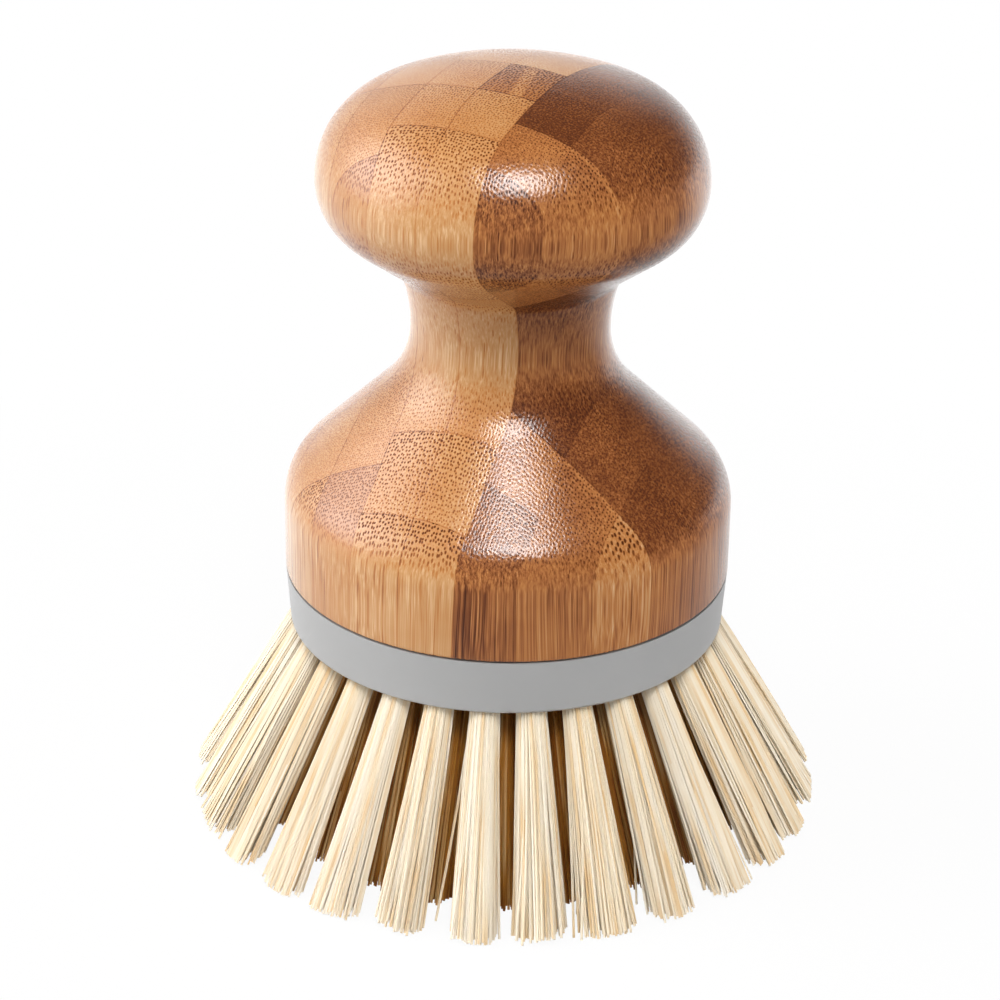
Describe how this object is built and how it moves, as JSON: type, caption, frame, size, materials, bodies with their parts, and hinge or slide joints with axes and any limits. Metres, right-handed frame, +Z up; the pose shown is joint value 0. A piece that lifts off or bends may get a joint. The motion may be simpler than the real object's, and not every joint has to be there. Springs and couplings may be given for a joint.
{
  "type": "vegetable brush",
  "caption": "Palm brush for scrubbing vegetables: a turned bamboo knob handle on a grey moulded head that twists off, with flared rings of cream bristle tufts.",
  "frame": {"origin": "centre of the circle of bristle tips, on the plane where the brush stands", "axes": "+Z up along the axis of the turned handle; the head and the tuft rows are round that axis"},
  "size_m": [0.0896, 0.0912, 0.1072],
  "materials": {
    "bamboo": "lacquered bamboo strips with satin gloss",
    "grey_plastic": "smooth moulded plastic, matte",
    "socket_plastic": "plain moulded plastic",
    "screw_steel": "zinc plated steel",
    "staple_wire": "drawn flat wire",
    "bristle_nylon": "cream nylon filament"
  },
  "bodies": {
    "handle": {"bamboo_handle": "bamboo", "twist_socket": "socket_plastic", "socket_screws": "screw_steel"},
    "head": {"brush_head": "grey_plastic", "outer_tufts": "bristle_nylon", "second_tufts": "bristle_nylon", "third_tufts": "bristle_nylon", "fourth_tufts": "bristle_nylon", "inner_tufts": "bristle_nylon", "outer_staples": "staple_wire", "second_staples": "staple_wire", "third_staples": "staple_wire", "fourth_staples": "staple_wire", "inner_staples": "staple_wire"}
  },
  "joints": [
    {"name": "head_twist", "type": "hinge", "parent": "handle", "child": "head", "pos_m": [0, 0, 0.0354], "axis": [0, 0, -1], "range_deg": [0, 60]}
  ]
}
